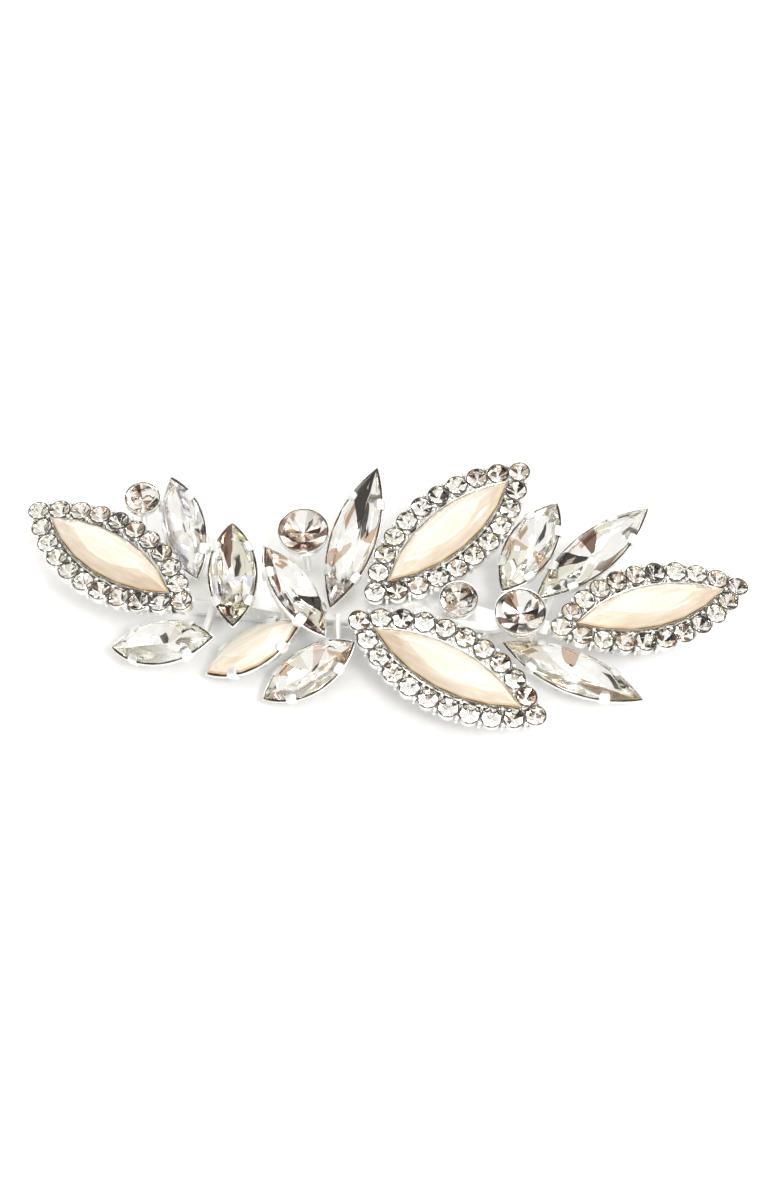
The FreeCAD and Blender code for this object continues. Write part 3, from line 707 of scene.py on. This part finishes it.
def leaf_setting(leaf, leaf_seat, halo_seats):
    """The plate, a collet for each small stone, the prongs, and the thin bezel round the ivory stone."""
    shape = Shape()
    middles = [tuple(leaf_seat.axes @ (seat.origin - leaf_seat.origin)) for seat in halo_seats]
    middles.sort(key=lambda middle: math.atan2(middle[1], middle[0]))
    radius, depth = halo_seats[0].half_width, halo_seats[0].depth
    leaf_plate(shape, leaf_seat, middles, radius, depth)

    def stone_outline(grow):
        return circle(radius + grow, COLLET_STEPS)

    def ivory_outline(grow):
        return marquise(leaf_seat.half_length + grow * 1.5, leaf_seat.half_width + grow, BEZEL_STEPS)

    collet_outside = [(-0.3, -depth - 0.1), (0.0, -depth - 0.1), (0.12, -0.3), (COLLET_WALL, 0.0)]
    collet = collet_outside + [(0.12, 0.07), (0.06, 0.06), (0.03, -0.1)]
    for seat in halo_seats:
        add_band(shape, seat, profile_rings(stone_outline, collet))
        add_painted_seat_shadow(shape, seat, stone_outline, 0.15, inner=-0.01, outer=0.10)
    for first, second in zip(middles, middles[1:] + middles[:1]):
        middle = (np.array(first) + np.array(second)) / 2
        run = np.array(second) - np.array(first)
        out = np.array([run[1], -run[0], 0.0])
        out = out / np.linalg.norm(out)
        for side, size in ((1, OUTER_STUD), (-1, INNER_STUD)):
            spot = middle + out * radius * STUD_PLACE * side
            stud(shape, leaf_seat, (spot[0], spot[1], middle[2] + STUD_RISE), size, depth + 0.3)
    bezel = [(0.20, -0.9), (0.20, 0.14), (0.14, 0.22), (0.05, 0.18), (0.02, -0.9)]
    add_band(shape, leaf_seat, profile_rings(ivory_outline, bezel))
    piece = shape.finish(f"{leaf}_casting", [RIM_SILVER, SEAT_SHADE], sharp=60)
    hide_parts(f"{leaf}_setting")


# Each kind of stone draws its tones from seeds of its own.
NAVETTE_SEED, ROUND_SEED, HALO_SEED = 100, 200, 300
# The end of each leaf's ivory stone that carries the painted highlight: 1 for its +X end, -1 for the other.
PAINTED_HIGHLIGHT_END = {"left_leaf": -1, "back_leaf": -1, "front_leaf": 1, "right_leaf": -1}

for index, navette in enumerate(CLEAR_NAVETTES):
    navette_stone(f"{navette}_stone", NAVETTE_SEED + index)
    navette_cup(f"{navette}_cup", seat_of(f"{navette}_stone"))
for index, name in enumerate(ROUNDS):
    round_stone(f"{name}_stone", ROUND_SEED + index)
    round_cup(f"{name}_cup", seat_of(f"{name}_stone"))
navette_seat = ivory_stone(f"{IVORY_NAVETTE}_stone", "ivory_navette_glass", -1, MILK)
navette_cup(f"{IVORY_NAVETTE}_cup", navette_seat)
for index, leaf in enumerate(LEAVES):
    stones = halo_stones(leaf, HALO_SEED + index)
    ivory_seat = ivory_stone(f"{leaf}_ivory_stone", f"{leaf}_ivory_glass", PAINTED_HIGHLIGHT_END[leaf])
    leaf_setting(leaf, ivory_seat, stones)

# ---------------------------------------------------------------- carried-over CAD nodes


def finish_node(node, material):
    """Gives a CAD node a material, and leaves its shape alone."""
    piece = frame["nodes"][node]
    piece.data.materials.clear()
    piece.data.materials.append(material)


for node in ("left_stems", "middle_stems", "right_stems", "left_branch", "right_branch"):
    finish_node(node, CLAW_SILVER)
for node in ("upper_jaw", "lower_jaw", "hinge_pin"):
    finish_node(node, CLIP_STEEL)

# ---------------------------------------------------------------- the spring

SPRING_WIRE, SPRING_RADIUS, SPRING_TURNS, SPRING_PITCH = 0.24, 1.35, 5, 0.56
SPRING_LEG, UPPER_LEG_RISE, LOWER_LEG_RISE = 8.0, 0.55, -0.65
LEG_STEPS, TURN_STEPS = 8, 28


def tube(path, radius, count=10):
    """Rings of a round wire along a path, each square to the path there."""
    path = np.array(path)
    runs = np.gradient(path, axis=0)
    side = np.array([0.0, 1.0, 0.0])
    rings = []
    for point, run in zip(path, runs):
        run = run / np.linalg.norm(run)
        side = side - run * (side @ run)
        if np.linalg.norm(side) < 0.05:
            side = np.array([0.0, 0.0, 1.0]) - run * run[2]
        side = side / np.linalg.norm(side)
        across = np.cross(run, side)
        angles = 2 * math.pi * np.arange(count) / count
        rings.append(point + radius * (np.outer(np.cos(angles), side) + np.outer(np.sin(angles), across)))
    return rings


def jaw_spring():
    """A wound torsion spring on the hinge pin: one leg under each tail of the clip."""
    pin = np.array(frame["record"]["behaviour"]["joints"][0]["pos_m"]) / MM
    turns = SPRING_TURNS - 0.5
    half = SPRING_PITCH * turns / 2
    path = []
    upper, lower = np.array([0, -half, SPRING_RADIUS]), np.array([0, half, -SPRING_RADIUS])
    for step in range(LEG_STEPS, 0, -1):
        path.append(upper + np.array([-SPRING_LEG, 0, UPPER_LEG_RISE]) * step / LEG_STEPS)
    steps = round(turns * TURN_STEPS)
    for step in range(steps + 1):
        turn = 2 * math.pi * turns * step / steps
        rise = -half + 2 * half * step / steps
        path.append(np.array([SPRING_RADIUS * math.sin(turn), rise, SPRING_RADIUS * math.cos(turn)]))
    for step in range(1, LEG_STEPS + 1):
        path.append(lower + np.array([-SPRING_LEG, 0, LOWER_LEG_RISE]) * step / LEG_STEPS)
    rings = tube(path, SPRING_WIRE)
    shape = Shape()
    shape.add((np.concatenate(rings) + pin) * MM, capped_faces(len(rings[0]), len(rings)))
    piece = shape.finish("wound_jaw_spring", [SPRING_STEEL], body=None, sharp=60)
    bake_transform(piece)
    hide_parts("jaw_spring")


jaw_spring()

# ---------------------------------------------------------------- floor, light and camera


def direction(azimuth, elevation):
    """The way from the clip to something at this azimuth and elevation, in degrees."""
    turn, rise = math.radians(azimuth), math.radians(elevation)
    return Vector((math.sin(turn) * math.cos(rise), -math.cos(turn) * math.cos(rise), math.sin(rise)))


def plane(name, middle, across, up, width, height):
    """A flat rectangle facing across x up."""
    corners = []
    for side, rise in ((-1, -1), (1, -1), (1, 1), (-1, 1)):
        corners.append(Vector(middle) + Vector(across) * side * width / 2 + Vector(up) * rise * height / 2)
    mesh = bpy.data.meshes.new(name)
    mesh.from_pydata(corners, [], [(0, 1, 2, 3)])
    piece = bpy.data.objects.new(name, mesh)
    bpy.context.scene.collection.objects.link(piece)
    return piece


def floor_paper():
    """Plain white paper with the faintest clouding."""
    material, nodes, links, shader = new_material("white_paper")
    _, tint = noise_ramp(nodes, links, 900, 4, [(0.3, grey(0.90)), (0.7, grey(0.93))])
    links.new(tint.outputs["Color"], shader.inputs["Base Color"])
    shader.inputs["Roughness"].default_value = 0.9
    return material


FLOOR_LEVEL, FLOOR_SIZE = -0.0002, 6
floor = plane("floor", (0, 0, FLOOR_LEVEL), (1, 0, 0), (0, 1, 0), FLOOR_SIZE, FLOOR_SIZE)
floor.data.materials.append(floor_paper())


def soft_light(name, azimuth, elevation, distance, size, power):
    """A rectangular area light that faces the clip."""
    lamp = bpy.data.lights.new(name, "AREA")
    lamp.shape = "RECTANGLE"
    lamp.size, lamp.size_y = size
    lamp.energy = power
    piece = bpy.data.objects.new(name, lamp)
    back = direction(azimuth, elevation)
    piece.location = back * distance
    piece.rotation_euler = back.to_track_quat("Z", "Y").to_euler()
    bpy.context.scene.collection.objects.link(piece)


soft_light("soft_box", 14, 74, 0.9, (0.5, 0.4), 1.1)
soft_light("key_light", 40, 62, 0.7, (0.12, 0.12), 1.1)
soft_light("side_light", 100, 35, 0.6, (0.10, 0.16), 0.35)
soft_light("back_light", 190, 45, 0.7, (0.30, 0.08), 0.5)


def card(name, azimuth, elevation, distance, size, colour):
    """A coloured card out of the picture, for the facets and metal to reflect."""
    back = direction(azimuth, elevation)
    across = Vector((math.cos(math.radians(azimuth)), math.sin(math.radians(azimuth)), 0))
    piece = plane(name, back * distance, across, back.cross(across), *size)
    piece.visible_camera = False
    piece.visible_shadow = False
    piece.visible_diffuse = False
    material, _, _, shader = new_material(name)
    shader.inputs["Base Color"].default_value = (*colour, 1)
    shader.inputs["Roughness"].default_value = 0.8
    piece.data.materials.append(material)


card("dark_card", -70, 40, 0.5, (0.35, 0.16), (0.02, 0.018, 0.016))
card("tan_card", 60, 30, 0.5, (0.22, 0.14), (0.42, 0.28, 0.20))
card("back_dark_card", 150, 25, 0.5, (0.4, 0.12), (0.03, 0.028, 0.026))
card("camera_card", 11, 62, 0.62, (0.05, 0.06), (0.06, 0.055, 0.05))

world = bpy.data.worlds.new("studio")
bpy.context.scene.world = world
world.use_nodes = True
background = world.node_tree.nodes["Background"]
background.inputs["Color"].default_value = (1.0, 0.985, 0.955, 1)
background.inputs["Strength"].default_value = 0.82

# The camera's own place about the clip, in degrees and millimetres.
CAMERA_AZIMUTH, CAMERA_ELEVATION, CAMERA_DISTANCE = 11, 62, 520
CAMERA_TARGET = (1.96, -3.03, 8.0)
LENS, SENSOR = 109.57, 36


def photo_camera():
    """The camera that looks down on the clip from in front."""
    lens = bpy.data.cameras.new("photo_camera")
    lens.lens, lens.sensor_height, lens.sensor_fit = LENS, SENSOR, "VERTICAL"
    lens.clip_start = 0.01
    camera = bpy.data.objects.new("photo_camera", lens)
    back = direction(CAMERA_AZIMUTH, CAMERA_ELEVATION)
    camera.location = (Vector(CAMERA_TARGET) + back * CAMERA_DISTANCE) * MM
    camera.rotation_euler = back.to_track_quat("Z", "Y").to_euler()
    bpy.context.scene.collection.objects.link(camera)
    bpy.context.scene.camera = camera


photo_camera()
scene = bpy.context.scene
scene.view_settings.view_transform = "Standard"
scene.view_settings.look = "Medium High Contrast"
scene.cycles.max_bounces = 24
scene.cycles.glossy_bounces = 16
scene.cycles.transmission_bounces = 20
